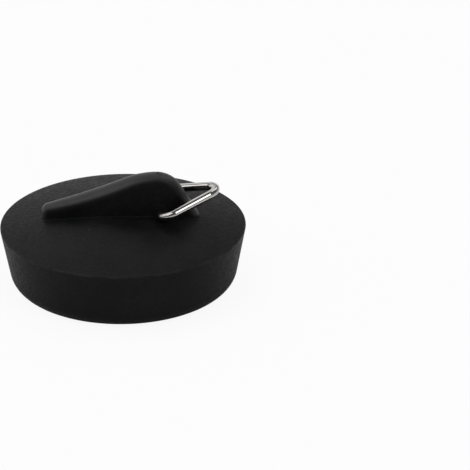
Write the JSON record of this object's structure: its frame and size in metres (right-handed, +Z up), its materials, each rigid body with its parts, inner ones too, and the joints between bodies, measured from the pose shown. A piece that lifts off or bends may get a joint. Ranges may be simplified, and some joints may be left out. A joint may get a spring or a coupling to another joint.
{
  "type": "drain stopper",
  "caption": "Tapered rubber drain stopper with a domed top, a hollow underside and a wedge-shaped finger grip that carries a swinging triangular wire pull ring.",
  "frame": {"origin": "on the stopper's own axis, on the plane that its bottom rim stands on", "axes": "+Z up out of the drain, +X along the finger grip from its low end to its tall end, where the ring is"},
  "size_m": [0.05, 0.05, 0.0236],
  "materials": {
    "rubber": "moulded black rubber, satin",
    "wire": "bright nickel-plated steel wire"
  },
  "bodies": {
    "stopper": {"rubber_stopper": "rubber"},
    "ring": {"pull_ring": "wire"}
  },
  "joints": [
    {"name": "ring_swing", "type": "hinge", "parent": "stopper", "child": "ring", "pos_m": [0.0077, 0, 0.01648], "axis": [0, -1, 0], "range_deg": [-26, 120]}
  ]
}
